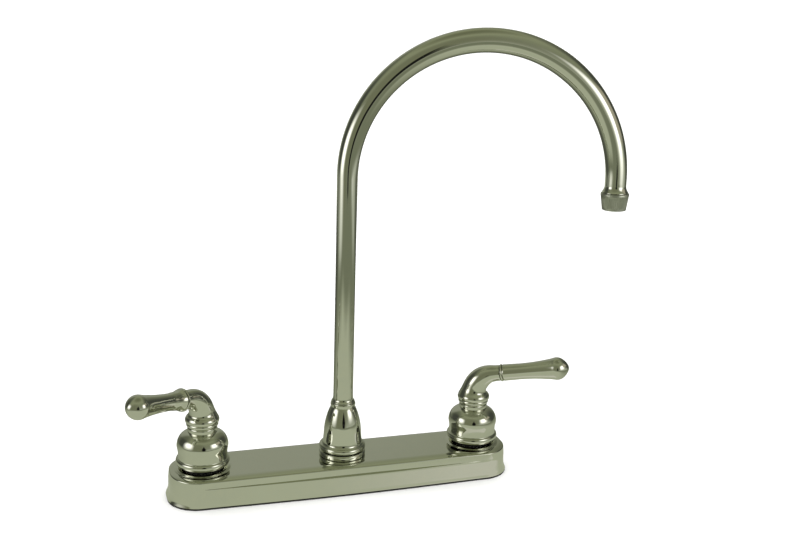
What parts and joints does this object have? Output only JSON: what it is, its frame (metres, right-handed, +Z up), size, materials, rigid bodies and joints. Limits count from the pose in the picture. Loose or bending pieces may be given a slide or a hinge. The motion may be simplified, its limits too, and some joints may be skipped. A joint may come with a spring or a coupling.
{
  "type": "kitchen faucet",
  "caption": "Deck kitchen faucet with lever handles on bell shaped bases, a high arc swivelling spout with aerator, a long base plate and supply shanks below the deck.",
  "frame": {"origin": "centre of the base gasket underside, on the deck plane midway between the handles", "axes": "+Z up out of the deck, +X from the hot handle on the left to the cold handle on the right, -Y towards the user"},
  "size_m": [0.3526, 0.0728, 0.376],
  "materials": {
    "chrome_plate": "polished chrome plate",
    "satin_plate": "satin ribbed ring",
    "brass": "machined brass",
    "copper_tube": "drawn copper tube",
    "zinc_steel": "zinc plated steel",
    "rubber": "black moulded rubber",
    "ceramic": "ground white ceramic",
    "nylon": "moulded nylon",
    "black_nylon": "black moulded nylon"
  },
  "bodies": {
    "faucet_body": {"base_gasket": "rubber", "base_plate": "chrome_plate", "hot_valve_body": "brass", "hot_body_nut": "black_nylon", "hot_seat_seal": "rubber", "hot_fixed_disc": "ceramic", "hot_cartridge": "brass", "hot_bonnet": "brass", "hot_mounting_washer": "zinc_steel", "hot_mounting_nut": "brass", "hot_feed_tube": "copper_tube", "cold_valve_body": "brass", "cold_body_nut": "black_nylon", "cold_seat_seal": "rubber", "cold_fixed_disc": "ceramic", "cold_cartridge": "brass", "cold_bonnet": "brass", "cold_mounting_washer": "zinc_steel", "cold_mounting_nut": "brass", "cold_feed_tube": "copper_tube", "centre_tee": "brass", "spout_base_ring": "chrome_plate", "spout_glide_ring": "black_nylon", "spout_nut": "chrome_plate", "spout_thrust_washer": "nylon"},
    "spout": {"spout_tube": "chrome_plate", "spout_bushing": "brass", "spout_o_ring_lower": "rubber", "spout_o_ring_upper": "rubber", "aerator_adapter": "brass", "aerator_shell": "satin_plate", "aerator_washer": "rubber", "aerator_insert": "nylon", "aerator_screen": "zinc_steel"},
    "hot_handle": {"hot_stem": "brass", "hot_stem_o_ring": "rubber", "hot_moving_disc": "ceramic", "hot_spline_insert": "nylon", "hot_bell": "chrome_plate", "hot_handle_hub": "chrome_plate", "hot_set_screw": "zinc_steel", "hot_lever_ring": "chrome_plate", "hot_lever": "chrome_plate"},
    "cold_handle": {"cold_stem": "brass", "cold_stem_o_ring": "rubber", "cold_moving_disc": "ceramic", "cold_spline_insert": "nylon", "cold_bell": "chrome_plate", "cold_handle_hub": "chrome_plate", "cold_set_screw": "zinc_steel", "cold_lever_ring": "chrome_plate", "cold_lever": "chrome_plate"}
  },
  "joints": [
    {"name": "spout_swivel", "type": "hinge", "parent": "faucet_body", "child": "spout", "pos_m": [0, 0, 0.0275], "axis": [0, 0, 1], "continuous": true},
    {"name": "hot_handle_turn", "type": "hinge", "parent": "faucet_body", "child": "hot_handle", "pos_m": [-0.1016, 0, 0.03], "axis": [0, 0, 1], "range_deg": [-40.5, 49.5]},
    {"name": "cold_handle_turn", "type": "hinge", "parent": "faucet_body", "child": "cold_handle", "pos_m": [0.1016, 0, 0.03], "axis": [0, 0, 1], "range_deg": [-60, 30]}
  ]
}
